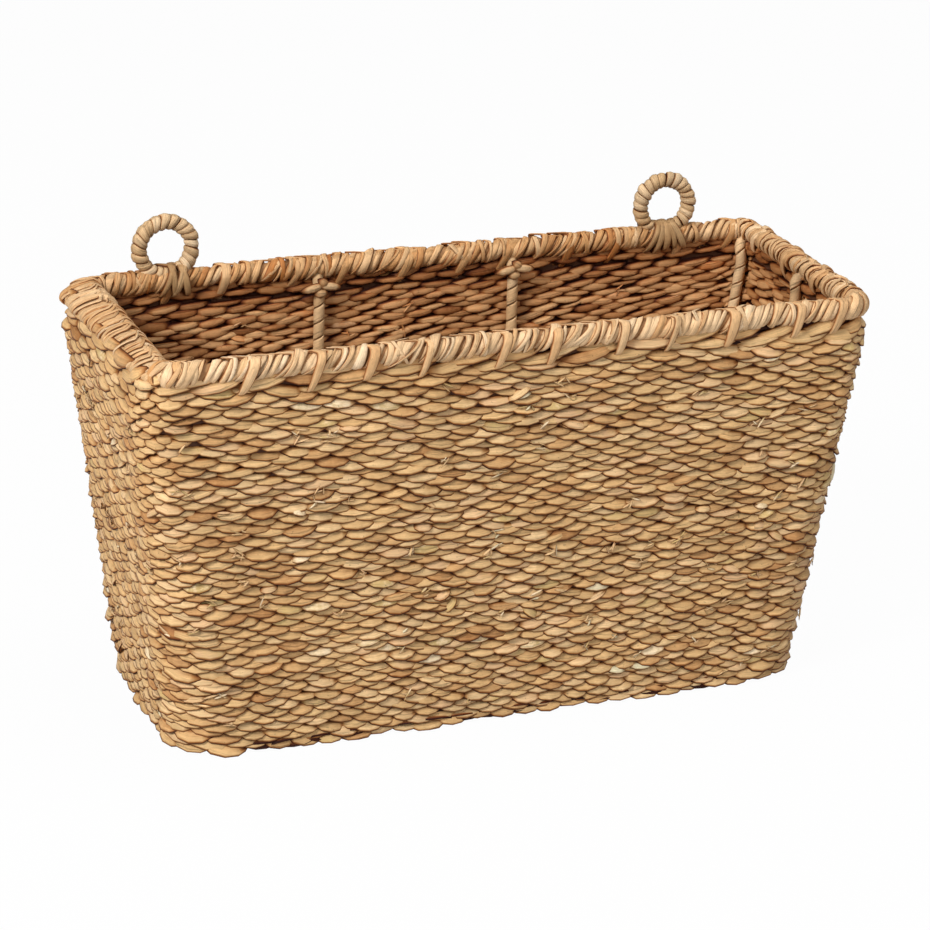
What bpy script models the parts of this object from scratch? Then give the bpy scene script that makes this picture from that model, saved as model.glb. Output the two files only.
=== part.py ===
"""Wall basket of twined seagrass on a wound wire frame, with two hanging rings.

Metres, +Z up. The basket stands on the plane Z = 0, its back, which lies against the wall, faces +Y,
and X runs along the wall. The origin is under the middle of the basket.
"""
import math

import bmesh
import bpy
from mathutils import Vector

# Clearances between the pieces
CLEARANCE = 0.0003
WELD_GAP = 0.0005
OVERRUN = 0.004

# Rim: a closed loop of steel rod under a border of leaf, given at the rod's centre line
RIM_HEIGHT = 0.240
RIM_RIGHT = 0.2201
RIM_DRAWN_IN = 0.0096
RIM_DEPTH = 0.1625
RIM_CORNER = 0.0116
RIM_ROD_RADIUS = 0.0025
BORDER_RADIUS = 0.0065

# Binding: one strand that winds round the border, a whole number of turns from strut to strut
BINDING_RADIUS = 0.0010
BINDING_PITCH = 0.036
BINDING_CLEARANCE = 0.0005

# Woven wall and floor
WALL_THICKNESS = 0.008
WALL_LIP_OUTSIDE = 0.0047
WALL_LIP_INSIDE = 0.0010
SHOULDER_LENGTH = 0.4546
SHOULDER_DEPTH = 0.1720
SHOULDER_CORNER = 0.0180
SHOULDER_DROP = 0.0182
FOOT_LENGTH = 0.4037
FOOT_FRONT = 0.0770
FOOT_BACK = 0.0860
FOOT_CORNER = 0.0347
FLOOR_THICKNESS = 0.008
FLOOR_EDGE_RADIUS = 0.0074

# Frame inside the weave: a loop on the floor, cross rods and struts, all wound with leaf
BASE_ROD_RADIUS = 0.0020
BASE_WRAP_RADIUS = 0.0038
STRUT_ROD_RADIUS = 0.00175
STRUT_WRAP_RADIUS = 0.0033
STRUT_SPACING = 0.126
STRUTS_LEFT_OF_MIDDLE = 0.0048
END_STRUT_PLACE = -0.002
STRUT_TOP_INSET = 0.006

# Hanging rings, stood on the rim rod and lashed to it
RING_SPACING = 0.324
RING_RADIUS = 0.0160
RING_ROD_RADIUS = 0.00125
RING_WRAP_RADIUS = 0.00165
RING_WRAP_PITCH = 0.0050
LASHING_RADIUS = 0.0015
LASHING_PITCH = 0.0046
LASHING_TURNS = 4

# How round things are divided
CORNER_STEPS = 4
CURL_POINTS = 8
RING_POINTS = 24
LOOK_STEPS = 1200
EDGE_STEPS = 3
FINE = 4
ROUND = 2
COARSE = 1
SMOOTH_ANGLE = math.radians(40)
MERGE_SHARE = 0.1

# How the gap between a strand's turns is measured: steps from point to point, and how far round counts
GAP_STEPS = 4
NEXT_TURN_SHARE = 0.75

# Colours, roughness and metal share
BARE_STEEL = ((0.20, 0.19, 0.18), 0.45, 1.0)
LEAF_PALE = ((0.62, 0.43, 0.24), 0.62, 0.0)
LEAF_TAN = ((0.55, 0.35, 0.17), 0.65, 0.0)
LEAF_BROWN = ((0.42, 0.26, 0.13), 0.70, 0.0)


def start_collection(name):
    """A new collection linked to the scene."""
    collection = bpy.data.collections.new(name)
    bpy.context.scene.collection.children.link(collection)
    return collection


def finish(name, look):
    """A Principled material of its own for one piece."""
    colour, roughness, metallic = look
    material = bpy.data.materials.new(name)
    material.use_nodes = True
    shader = material.node_tree.nodes["Principled BSDF"]
    shader.inputs["Base Color"].default_value = (*colour, 1)
    shader.inputs["Roughness"].default_value = roughness
    shader.inputs["Metallic"].default_value = metallic
    material.diffuse_color = (*colour, 1)
    return material


def as_cutter(piece):
    """Marks a piece as a tool that only cuts."""
    piece.hide_render = True
    piece.display_type = "WIRE"
    return piece


def tube(name, points, radius, look, resolution=ROUND, closed=False, collection=None):
    """A round rod or strand along a line of points."""
    curve = bpy.data.curves.new(name, "CURVE")
    curve.dimensions = "3D"
    curve.bevel_depth = radius
    curve.bevel_resolution = resolution
    curve.use_fill_caps = True
    spline = curve.splines.new("POLY")
    spline.points.add(len(points) - 1)
    for point, place in zip(spline.points, points):
        point.co = (*place, 1)
    spline.use_cyclic_u = closed
    curve.materials.append(finish(name, look))
    piece = bpy.data.objects.new(name, curve)
    (collection or parts).objects.link(piece)
    return piece


def mesh_tube(name, points, radius, look, resolution=ROUND, collection=None):
    """The same rod or strand as a closed mesh, ready to be cut or to cut."""
    rod = tube(name, points, radius, look, resolution, False, collection)
    bpy.context.view_layer.update()
    evaluated = rod.evaluated_get(bpy.context.evaluated_depsgraph_get())
    mesh = bpy.data.meshes.new_from_object(evaluated)
    shape = bmesh.new()
    shape.from_mesh(mesh)
    bmesh.ops.remove_doubles(shape, verts=shape.verts, dist=CLEARANCE * MERGE_SHARE)
    shape.to_mesh(mesh)
    shape.free()
    mesh.shade_smooth()
    mesh.set_sharp_from_angle(angle=SMOOTH_ANGLE)
    bpy.data.objects.remove(rod)
    piece = bpy.data.objects.new(name, mesh)
    (collection or parts).objects.link(piece)
    return piece


def cut(piece, tools):
    """Takes the shapes of all the tools out of a piece at once."""
    group = bpy.data.collections.new(piece.name + "_cuts")
    for tool in tools:
        group.objects.link(tool)
    boolean = piece.modifiers.new("cuts", "BOOLEAN")
    boolean.operation = "DIFFERENCE"
    boolean.operand_type = "COLLECTION"
    boolean.collection = group


def flats_clear(radius):
    """Radius of a bore, drawn with flats, that clears a rod of this radius."""
    sides = 4 + 2 * ROUND
    return (radius + CLEARANCE) / math.cos(math.pi / sides)


def stretched(points, distance):
    """A line of points with both ends run on by a distance."""
    first = points[0] + (points[0] - points[1]).normalized() * distance
    last = points[-1] + (points[-1] - points[-2]).normalized() * distance
    return [first, *points[1:-1], last]


def report_gap(name, points, radius, turn_points=CURL_POINTS):
    """Prints the least gap of a wound strand to its own neighbouring turns, in millimetres."""
    fine = []
    for here, there in zip(points, points[1:]):
        fine += [here.lerp(there, step / GAP_STEPS) for step in range(GAP_STEPS)]
    apart = round(turn_points * GAP_STEPS * NEXT_TURN_SHARE)
    gaps = [(fine[i] - fine[j]).length for i in range(len(fine)) for j in range(i + apart, len(fine))]
    print(name, "least gap to itself", round(1000 * (min(gaps) - 2 * radius), 2), "mm")


class Outline:
    """A rectangle with round corners seen from above, walked from the middle of its back to the left."""

    def __init__(self, left, right, front, back, corner):
        self.left, self.right, self.front, self.back, self.corner = left, right, front, back, corner

    def inset(self, distance):
        return Outline(self.left + distance, self.right - distance, self.front + distance,
                       self.back - distance, self.corner - distance)

    def toward(self, other, share):
        mine = (self.left, self.right, self.front, self.back, self.corner)
        theirs = (other.left, other.right, other.front, other.back, other.corner)
        return Outline(*(a + (b - a) * share for a, b in zip(mine, theirs)))

    def corners(self):
        """Centre of each corner's arc, from back left round to back right, with its first direction."""
        low_x, high_x = self.left + self.corner, self.right - self.corner
        low_y, high_y = self.front + self.corner, self.back - self.corner
        return ((Vector((low_x, high_y)), 90), (Vector((low_x, low_y)), 180),
                (Vector((high_x, low_y)), 270), (Vector((high_x, high_y)), 0))

    def points(self, height):
        """The whole loop as points, the corners as arcs."""
        loop = []
        for centre, first in self.corners():
            for step in range(CORNER_STEPS + 1):
                turn = math.radians(first + 90 * step / CORNER_STEPS)
                place = centre + Vector((math.cos(turn), math.sin(turn))) * self.corner
                loop.append(Vector((*place, height)))
        return loop

    def legs(self):
        """Straight runs and quarter arcs in walking order, each with its length and its way through."""
        quarter = self.corner * math.pi / 2
        here = Vector((0, self.back))
        for centre, first in self.corners():
            turn = math.radians(first)
            outward = Vector((math.cos(turn), math.sin(turn)))
            there = centre + outward * self.corner
            yield (there - here).length, here, there, outward, None
            turn = math.radians(first + 90)
            yield quarter, centre, None, outward, turn
            here = centre + Vector((math.cos(turn), math.sin(turn))) * self.corner
        yield (here - Vector((0, self.back))).length, here, Vector((0, self.back)), Vector((0, 1)), None

    def length(self):
        return sum(leg[0] for leg in self.legs())

    def walk(self, distance):
        """Place and outward direction at a distance along the loop."""
        for length, here, there, outward, turn in self.legs():
            if distance > length:
                distance -= length
                continue
            if there is not None:
                return here.lerp(there, distance / length), outward
            angle = turn - math.pi / 2 * (1 - distance / length)
            outward = Vector((math.cos(angle), math.sin(angle)))
            return here + outward * self.corner, outward
        return Vector((0, self.back)), Vector((0, 1))

    def distance_to(self, place):
        """Distance along the loop of its nearest point to a place."""
        steps = [self.length() * step / LOOK_STEPS for step in range(LOOK_STEPS)]
        return min(steps, key=lambda distance: (self.walk(distance)[0] - place).length)

    def stretch(self, start, end, height):
        """The part of the loop between two distances, straight runs by their ends and corners as arcs."""
        marks = {start, end}
        passed = 0
        for length, _, there, _, _ in self.legs():
            steps = 1 if there is not None else CORNER_STEPS
            marks.update(passed + length * step / steps for step in range(steps + 1))
            passed += length
        inside = sorted(mark for mark in marks if start <= mark <= end)
        kept = [a for a, b in zip(inside, inside[1:]) if b - a > CLEARANCE] + [end]
        return [Vector((*self.walk(mark)[0], height)) for mark in kept]


def build_outlines():
    """Plan of the rim and, from foot to lip, of the wall's two faces."""
    rim = Outline(RIM_DRAWN_IN - RIM_RIGHT, RIM_RIGHT, -RIM_DEPTH / 2, RIM_DEPTH / 2, RIM_CORNER)
    shoulder = Outline(-SHOULDER_LENGTH / 2, SHOULDER_LENGTH / 2, -SHOULDER_DEPTH / 2,
                       SHOULDER_DEPTH / 2, SHOULDER_CORNER)
    foot = Outline(-FOOT_LENGTH / 2, FOOT_LENGTH / 2, -FOOT_FRONT, FOOT_BACK, FOOT_CORNER)
    return rim, shoulder, foot


def loft(name, loops, look, ends=False):
    """A mesh through loops of equally many points, either closed on itself or with flat ends."""
    shape = bmesh.new()
    rows = [[shape.verts.new(point) for point in loop] for loop in loops]
    pairs = list(zip(rows, rows[1:]))
    if ends:
        shape.faces.new(rows[0])
        shape.faces.new(rows[-1])
    else:
        pairs.append((rows[-1], rows[0]))
    for low, high in pairs:
        for here in range(len(low)):
            shape.faces.new((low[here - 1], low[here], high[here], high[here - 1]))
    bmesh.ops.recalc_face_normals(shape, faces=shape.faces)
    mesh = bpy.data.meshes.new(name)
    shape.to_mesh(mesh)
    shape.free()
    mesh.shade_smooth()
    mesh.set_sharp_from_angle(angle=SMOOTH_ANGLE)
    mesh.materials.append(finish(name, look))
    piece = bpy.data.objects.new(name, mesh)
    parts.objects.link(piece)
    return piece


def build_weave():
    """The twined wall and the twined floor that it stands on."""
    inner_shoulder = shoulder.inset(WALL_THICKNESS)
    inner_foot = foot.inset(WALL_THICKNESS)
    lip_outside = rim.inset(-WALL_LIP_OUTSIDE)
    lip_inside = rim.inset(WALL_LIP_INSIDE)
    loft("wall_weave", [foot.points(wall_foot), shoulder.points(shoulder_height),
                        lip_outside.points(lip_height), lip_inside.points(lip_height),
                        inner_shoulder.points(shoulder_height), inner_foot.points(wall_foot)], LEAF_TAN)
    rounded = []
    for step in range(EDGE_STEPS + 1):
        turn = math.pi / 2 * step / EDGE_STEPS
        inset = FLOOR_EDGE_RADIUS * (1 - math.sin(turn))
        rounded.append(foot.inset(inset).points(FLOOR_EDGE_RADIUS * (1 - math.cos(turn))))
    loft("floor_weave", rounded + [foot.points(FLOOR_THICKNESS)], LEAF_TAN, ends=True)


def frame_line(height):
    """Plan of the line that the struts stand on at a height, just inside the wall."""
    share = (height - wall_foot) / (shoulder_height - wall_foot)
    return foot.toward(shoulder, share).inset(WALL_THICKNESS + BASE_WRAP_RADIUS + CLEARANCE)


def build_floor_frame(crossing):
    """The rod loop on the floor with its leaf winding, which starts and stops at the back."""
    loop = frame_line(base_height)
    tube("base_rod", loop.points(base_height), BASE_ROD_RADIUS, BARE_STEEL, closed=True)
    run = loop.stretch(CLEARANCE, loop.length() - CLEARANCE, base_height)
    wrap = mesh_tube("base_rod_wrap", run, BASE_WRAP_RADIUS, LEAF_BROWN)
    bore = as_cutter(mesh_tube("base_rod_bore", stretched(run, CLEARANCE / 2), flats_clear(BASE_ROD_RADIUS),
                               LEAF_BROWN, collection=cutters))
    cut(wrap, [bore, *crossing])


def strut_line(place_at, sleeve_to_lip):
    """Points of one strut from the floor loop to the rim rod, and of the leaf winding round it."""
    foot_height = base_height + BASE_ROD_RADIUS + WELD_GAP
    low = Vector((*place_at(frame_line(foot_height)), foot_height))
    bend = Vector((*place_at(frame_line(shoulder_height)), shoulder_height))
    turned = Vector((*place_at(rim.inset(STRUT_TOP_INSET)), lip_height))
    target = Vector((*place_at(rim), RIM_HEIGHT))
    reach = (target - turned).length - RIM_ROD_RADIUS - WELD_GAP
    top = turned + (target - turned).normalized() * reach
    sleeve_low = low.lerp(bend, (BASE_WRAP_RADIUS - BASE_ROD_RADIUS) / (bend.z - low.z))
    sleeve = [sleeve_low, bend, turned] if sleeve_to_lip else [sleeve_low, bend]
    return [low, bend, turned, top], sleeve


def on_corner(index):
    """Rule that places a strut on the middle of a corner's arc."""
    def place_at(outline):
        centre, first = outline.corners()[index]
        turn = math.radians(first + 45)
        return centre + Vector((math.cos(turn), math.sin(turn))) * outline.corner
    return place_at


def wall_strut_place(side):
    """Place along the long walls of the struts on one side, and of the cross rod between them."""
    return side * STRUT_SPACING / 2 - STRUTS_LEFT_OF_MIDDLE


def build_struts():
    """Ten struts: one in each corner, two on each long wall and one on each end wall."""
    rules = {"back_left": (lambda line: Vector((wall_strut_place(-1), line.back)), True),
             "back_right": (lambda line: Vector((wall_strut_place(1), line.back)), True),
             "front_left": (lambda line: Vector((wall_strut_place(-1), line.front)), True),
             "front_right": (lambda line: Vector((wall_strut_place(1), line.front)), True),
             "end_left": (lambda line: Vector((line.left, END_STRUT_PLACE)), False),
             "end_right": (lambda line: Vector((line.right, END_STRUT_PLACE)), True),
             "corner_back_left": (on_corner(0), False),
             "corner_front_left": (on_corner(1), False),
             "corner_front_right": (on_corner(2), True),
             "corner_back_right": (on_corner(3), True)}
    bores = []
    for name, (place_at, sleeve_to_lip) in rules.items():
        rod, sleeve = strut_line(place_at, sleeve_to_lip)
        tube(f"strut_{name}_rod", rod, STRUT_ROD_RADIUS, BARE_STEEL)
        wrap = mesh_tube(f"strut_{name}_wrap", sleeve, STRUT_WRAP_RADIUS, LEAF_PALE)
        bore = as_cutter(mesh_tube(f"strut_{name}_bore", stretched(rod, BASE_ROD_RADIUS),
                                   flats_clear(STRUT_ROD_RADIUS), LEAF_PALE, collection=cutters))
        cut(wrap, [bore])
        bores.append((name, bore, rim.distance_to(place_at(rim))))
    return bores


def build_cross_rods():
    """Two rods across the floor, in line with the struts of the long walls."""
    loop = frame_line(base_height)
    bores = []
    for name, side in (("left", -1), ("right", 1)):
        x = wall_strut_place(side)
        inset = BASE_ROD_RADIUS + WELD_GAP
        rod = [Vector((x, loop.front + inset, base_height)), Vector((x, loop.back - inset, base_height))]
        tube(f"cross_{name}_rod", rod, STRUT_ROD_RADIUS, BARE_STEEL)
        shorten = BASE_WRAP_RADIUS + STRUT_WRAP_RADIUS - inset
        wrap = mesh_tube(f"cross_{name}_wrap", stretched(rod, -shorten), STRUT_WRAP_RADIUS, LEAF_BROWN)
        bore = as_cutter(mesh_tube(f"cross_{name}_bore", stretched(rod, BASE_ROD_RADIUS),
                                   flats_clear(STRUT_ROD_RADIUS), LEAF_BROWN, collection=cutters))
        cut(wrap, [bore])
        bores.append(bore)
    return bores


def build_rim(bores):
    """The rim rod and the leaf border round it, which leaves the rod free where the rings stand."""
    tube("rim_rod", rim.points(RIM_HEIGHT), RIM_ROD_RADIUS, BARE_STEEL, closed=True)
    beside_lashing = LASHING_TURNS * LASHING_PITCH / 2 + LASHING_RADIUS + CLEARANCE
    over_border = ring_height - RIM_HEIGHT - BORDER_RADIUS - CLEARANCE
    beside_ring = math.sqrt((RING_RADIUS + RING_ROD_RADIUS) ** 2 - over_border ** 2) + CLEARANCE
    free = max(beside_lashing, beside_ring)
    near, far = RING_SPACING / 2 - free, RING_SPACING / 2 + free
    whole = rim.length()
    main = rim.stretch(far, whole - far, RIM_HEIGHT)
    back = [Vector((near, rim.back, RIM_HEIGHT)), Vector((-near, rim.back, RIM_HEIGHT))]
    for name, run in (("rim_border_main", main), ("rim_border_back", back)):
        border = mesh_tube(name, run, BORDER_RADIUS, LEAF_TAN, resolution=FINE)
        bore = as_cutter(mesh_tube(name + "_bore", stretched(run, OVERRUN), flats_clear(RIM_ROD_RADIUS),
                                   LEAF_TAN, collection=cutters))
        on_back = name == "rim_border_back"
        crossing = [strut_bore for _, strut_bore, distance in bores
                    if (distance < near or distance > whole - near) == on_back]
        cut(border, [bore, *crossing])


def binding_points(stations):
    """A strand's points round the border: a whole number of turns from station to station."""
    points = []
    turns = 0
    for start, end in zip(stations, stations[1:]):
        curls = max(1, round((end - start) / BINDING_PITCH))
        turns += curls
        for step in range(curls * CURL_POINTS):
            distance = start + (end - start) * step / (curls * CURL_POINTS)
            points.append(round_border(distance, 2 * math.pi * step / CURL_POINTS))
    points.append(round_border(stations[-1], 0))
    print("binding turns", turns)
    return points


def round_border(distance, turn):
    """A point of the binding at a turn from the top, outward first, round the rim's centre line."""
    place, outward = rim.walk(distance % rim.length())
    across = place + outward * binding_reach * math.sin(turn)
    return Vector((*across, RIM_HEIGHT + binding_reach * math.cos(turn)))


def build_bindings(bores):
    """The strands that bind the border down, on top of it wherever a strut stands under it."""
    clear = RING_RADIUS + ring_wrap_reach + RING_WRAP_RADIUS + BINDING_RADIUS + CLEARANCE
    near, far = RING_SPACING / 2 - clear, RING_SPACING / 2 + clear
    whole = rim.length()
    places = sorted(distance for _, _, distance in bores)
    main = [far, *(place for place in places if far < place < whole - far), whole - far]
    back = [whole - near, *(place for place in places if place > whole - near),
            *(whole + place for place in places if place < near), whole + near]
    for name, stations in (("rim_binding_main", main), ("rim_binding_back", back)):
        points = binding_points(stations)
        tube(name, points, BINDING_RADIUS, LEAF_PALE, resolution=COARSE)
        report_gap(name, points, BINDING_RADIUS)


def lashing_top(along):
    """Height of the ring rod's centre line at a distance from the ring's middle."""
    return ring_height - math.sqrt(RING_RADIUS ** 2 - along ** 2)


def lashing_points(middle):
    """A strand that winds round the rim rod and the foot of the ring together."""
    half_arc = CURL_POINTS // 2
    reach = (RIM_ROD_RADIUS + CLEARANCE + LASHING_RADIUS) / math.cos(math.pi / CURL_POINTS)
    per_turn = 2 * (half_arc + 1)
    width = LASHING_TURNS * LASHING_PITCH
    points = []
    for step in range(LASHING_TURNS * per_turn + 1):
        along = width * step / (LASHING_TURNS * per_turn) - width / 2
        part = step % per_turn
        over = part <= half_arc
        turn = math.pi * (part if over else part - 1) / half_arc
        centre = lashing_top(along) if over else RIM_HEIGHT
        points.append(Vector((middle + along, rim.back + reach * math.cos(turn),
                              centre + reach * math.sin(turn))))
    return points, per_turn


def ring_wrap_points(middle):
    """A strand that winds round the ring rod, from one side of the lashing to the other."""
    reach = ring_wrap_reach
    side = LASHING_TURNS * LASHING_PITCH / 2
    lashing_reach = RIM_ROD_RADIUS + CLEARANCE + LASHING_RADIUS
    inner = RING_RADIUS - reach
    beside = math.atan2(side, ring_height - lashing_top(side) - lashing_reach)
    apart = RING_WRAP_RADIUS + LASHING_RADIUS + 2 * CLEARANCE
    first = beside + 2 * math.asin(apart / (2 * inner))
    turns = round(RING_RADIUS * (2 * math.pi - 2 * first) / RING_WRAP_PITCH)
    points = []
    for step in range(turns * CURL_POINTS + 1):
        round_ring = first + (2 * math.pi - 2 * first) * step / (turns * CURL_POINTS)
        turn = 2 * math.pi * step / CURL_POINTS
        far = RING_RADIUS + reach * math.cos(turn)
        points.append(Vector((middle + far * math.sin(round_ring), rim.back + reach * math.sin(turn),
                              ring_height - far * math.cos(round_ring))))
    return points


def build_rings():
    """Each ring: a rod welded on top of the rim rod, its winding, and the lashing at its foot."""
    for name, side in (("left", -1), ("right", 1)):
        middle = side * RING_SPACING / 2
        circle = []
        for step in range(RING_POINTS):
            turn = 2 * math.pi * step / RING_POINTS
            circle.append(Vector((middle + RING_RADIUS * math.sin(turn), rim.back,
                                  ring_height - RING_RADIUS * math.cos(turn))))
        tube(f"ring_{name}_rod", circle, RING_ROD_RADIUS, BARE_STEEL, closed=True)
        wrap = ring_wrap_points(middle)
        tube(f"ring_{name}_wrap", wrap, RING_WRAP_RADIUS, LEAF_PALE, resolution=COARSE)
        report_gap(f"ring_{name}_wrap", wrap, RING_WRAP_RADIUS)
        lashing, per_turn = lashing_points(middle)
        tube(f"ring_{name}_lashing", lashing, LASHING_RADIUS, LEAF_PALE, resolution=COARSE)
        report_gap(f"ring_{name}_lashing", lashing, LASHING_RADIUS, per_turn)


for old in list(bpy.data.objects):
    bpy.data.objects.remove(old)
parts = start_collection("wall_storage_basket")
cutters = start_collection("cutters")

rim, shoulder, foot = build_outlines()
binding_reach = (BORDER_RADIUS + BINDING_CLEARANCE + BINDING_RADIUS) / math.cos(math.pi / CURL_POINTS)
lip_height = RIM_HEIGHT - binding_reach - BINDING_RADIUS - CLEARANCE
shoulder_height = RIM_HEIGHT - SHOULDER_DROP
wall_foot = FLOOR_THICKNESS + CLEARANCE
base_height = FLOOR_THICKNESS + CLEARANCE + BASE_WRAP_RADIUS
ring_height = RIM_HEIGHT + RIM_ROD_RADIUS + CLEARANCE + RING_ROD_RADIUS + RING_RADIUS
ring_wrap_reach = (RING_ROD_RADIUS + CLEARANCE + RING_WRAP_RADIUS) / math.cos(math.pi / CURL_POINTS)

build_weave()
strut_bores = build_struts()
cross_bores = build_cross_rods()
build_floor_frame([strut_bore for _, strut_bore, _ in strut_bores] + cross_bores)
build_rim(strut_bores)
build_bindings(strut_bores)
build_rings()
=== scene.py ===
import math

import bmesh
import bpy
import numpy as np
from mathutils import Matrix, Vector


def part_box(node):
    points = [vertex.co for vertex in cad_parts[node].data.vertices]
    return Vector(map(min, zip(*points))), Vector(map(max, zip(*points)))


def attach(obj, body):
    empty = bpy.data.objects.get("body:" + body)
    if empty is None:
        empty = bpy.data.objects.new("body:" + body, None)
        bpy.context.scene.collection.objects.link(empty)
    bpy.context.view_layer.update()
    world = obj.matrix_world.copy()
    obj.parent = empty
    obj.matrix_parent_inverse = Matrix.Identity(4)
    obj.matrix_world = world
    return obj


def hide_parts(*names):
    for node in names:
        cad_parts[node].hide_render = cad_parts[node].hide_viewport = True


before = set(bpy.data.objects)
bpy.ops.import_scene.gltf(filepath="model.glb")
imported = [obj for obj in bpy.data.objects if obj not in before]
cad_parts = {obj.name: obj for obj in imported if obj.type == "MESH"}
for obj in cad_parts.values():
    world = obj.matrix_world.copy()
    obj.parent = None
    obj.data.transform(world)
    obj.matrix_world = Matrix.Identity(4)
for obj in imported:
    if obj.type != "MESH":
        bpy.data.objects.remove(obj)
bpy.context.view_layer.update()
chance = np.random.default_rng(7)


# Wire frame: a rim loop, a base loop, two cross rods, ten struts and two rings.
# Drawn steel rod, left dull and a little brown from handling, bent to shape and spot welded.
# It keeps its CAD solids, because the leaf windings cover nearly all of it.
STEEL = (78, 74, 70)
RUST = (104, 74, 50)


def linear(colour):
    """A colour written 0 to 255 as on a screen, in the linear values that shaders take."""
    shares = np.array(colour) / 255
    low = shares / 12.92
    high = ((shares + 0.055) / 1.055) ** 2.4
    return (*np.where(shares <= 0.04045, low, high), 1.0)


class Mark:
    """A socket in a material's node tree. Arithmetic on it adds Math nodes."""

    def __init__(self, tree, socket=None):
        self.tree = tree
        self.socket = socket

    def node(self, kind, settings=None, inputs=None, output=0):
        made = self.tree.nodes.new("ShaderNode" + kind)
        for name, value in (settings or {}).items():
            if name == "stops":
                while len(made.color_ramp.elements) < len(value):
                    made.color_ramp.elements.new(1.0)
                for stop, (place, colour) in zip(made.color_ramp.elements, value):
                    stop.position = place
                    stop.color = colour
            else:
                setattr(made, name, value)
        for name, value in (inputs or {}).items():
            if isinstance(value, Mark):
                self.tree.links.new(value.socket, made.inputs[name])
            else:
                made.inputs[name].default_value = value
        return Mark(self.tree, made.outputs[output])

    def math(self, operation, first, second=0.0):
        return self.node("Math", {"operation": operation}, {0: first, 1: second})

    def limit(self):
        return self.node("Math", {"operation": "ADD", "use_clamp": True}, {0: self, 1: 0.0})

    def fraction(self):
        return self.math("FRACT", self)

    def __abs__(self):
        return self.math("ABSOLUTE", self)

    def __add__(self, other):
        return self.math("ADD", self, other)

    def __sub__(self, other):
        return self.math("SUBTRACT", self, other)

    def __rsub__(self, other):
        return self.math("SUBTRACT", other, self)

    def __mul__(self, other):
        return self.math("MULTIPLY", self, other)

    def __pow__(self, other):
        return self.math("POWER", self, other)

    __radd__ = __add__
    __rmul__ = __mul__

    def blend(self, first, second):
        """The first colour turned into the second as far as this mark says."""
        return self.node("Mix", {"data_type": "RGBA"}, {0: self, 6: first, 7: second}, 2)


def new_finish(name):
    """A material with its shader, and a mark to start its nodes from."""
    material = bpy.data.materials.new(name)
    material.use_nodes = True
    tree = material.node_tree
    return material, tree.nodes["Principled BSDF"], Mark(tree)


def connect(shader, **inputs):
    for name, mark in inputs.items():
        shader.id_data.links.new(mark.socket, shader.inputs[name.replace("_", " ")])


def noise(place, scale, detail, roughness=0.5):
    """Soft clouds from 0 to 1 over a surface, by its places."""
    inputs = {"Vector": place, "Scale": scale, "Detail": detail, "Roughness": roughness}
    return place.node("TexNoise", inputs=inputs)


def bump(height, strength, distance):
    """A surface raised by a height, to that many metres."""
    return height.node("Bump", inputs={"Strength": strength, "Distance": distance, "Height": height})


steel, shader, start = new_finish("dull_steel_rod")
spot = start.node("TexCoord", output="Object")
stain = ((noise(spot, 90.0, 5.0) - 0.5) * 3.0).limit()
shader.inputs["Metallic"].default_value = 0.9
connect(
    shader,
    Base_Color=stain.blend(linear(STEEL), linear(RUST)),
    Roughness=stain * 0.3 + 0.42,
    Normal=bump(noise(spot, 900.0, 2.0), 0.2, 0.0004),
)
for name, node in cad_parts.items():
    if name.endswith("_rod"):
        node.data.materials.clear()
        node.data.materials.append(steel)


# Woven wall: two strands of dried seagrass leaf, twined round hidden stakes, row above row.
# Each stitch shows two leaf lobes, the lower one on the left, and its ends dive between the rows.
# The rows go once round the basket, which is drawn in at the rim's left end.

# The wall's faces: corner radii, how far the lip stands out from the rim rod and below it, and the rows.
FOOT_CORNER = 0.0347
SHOULDER_CORNER = 0.0180
RIM_CORNER = 0.0116
RIM_ROD = 0.0025
SHOULDER_DROP = 0.0182
LIP_OUTSIDE = 0.0047
LEFT_LIP_OUTSIDE = 0.0152
LIP_DROP = 0.0097
WALL_THICKNESS = 0.008
CORNER_STEPS = 10
ROWS = 32
STITCHES = 66
TOP_STITCHES = 46
LOWEST_ROW = 0.0066
HIGHEST_ROW = 0.2272
ROW_NEAR = 0.004
ROW_WAVES = (0.0007, 0.0005)
RESTING = 0.0004

# One lobe. Its section goes round from one edge over the face, its taper from a tip to the middle.
LOBE_LENGTH = 0.0286
LOBE_WIDTH = 0.0070
LOBE_DEPTH = 0.0033
LOBE_OUT = -0.0017
LOBE_DIVE = 0.0028
LOBE_DIVE_POWER = 2.8
LOBE_TILT = -1.5
LOBE_LEAN = 0.56
LOWER_BOW = -0.0025
UPPER_BOW = -0.0019
UPPER_SUNK = 0.0003
# Lobes get painted shade where their faces sink below the crown, from this depth, full over this reach.
SUNK_FROM = 0.0008
SUNK_REACH = 0.0021
LOBE_SECTION = (
    (1.0, 0.0), (0.80, 0.62), (0.32, 0.96), (-0.34, 1.0),
    (-0.84, 0.66), (-1.0, 0.0), (-0.4, -1.0), (0.4, -1.0),
)
LOBE_TAPER = ((1.0, 0.0), (0.80, 0.50), (0.44, 0.88), (0.0, 1.0))
SECOND_ACROSS = 0.0084
SECOND_UP = 0.0032

# Where rows depart from the even ones: the lowest, those that climb at the left end, the inside and the top.
LOWEST_LOBE = (1.12, 1.10)
DRAWN_HEIGHT = 0.030
DRAWN_DEPTH = 0.0006
OUTSIDE_SUNK = 0.0003
CLIMB_FROM = 0.150
LEFT_END_LIFT = 0.0092
BACK_LIFT = 0.0034
BACK_BAND = 0.03
INSIDE_LOBE = (0.97, 0.78, 1.6)
INSIDE_BOW = 0.5
INSIDE_LEAN = 0.78
INSIDE_TILT = 5.5
INSIDE_TOP_UP = 0.0032
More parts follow.
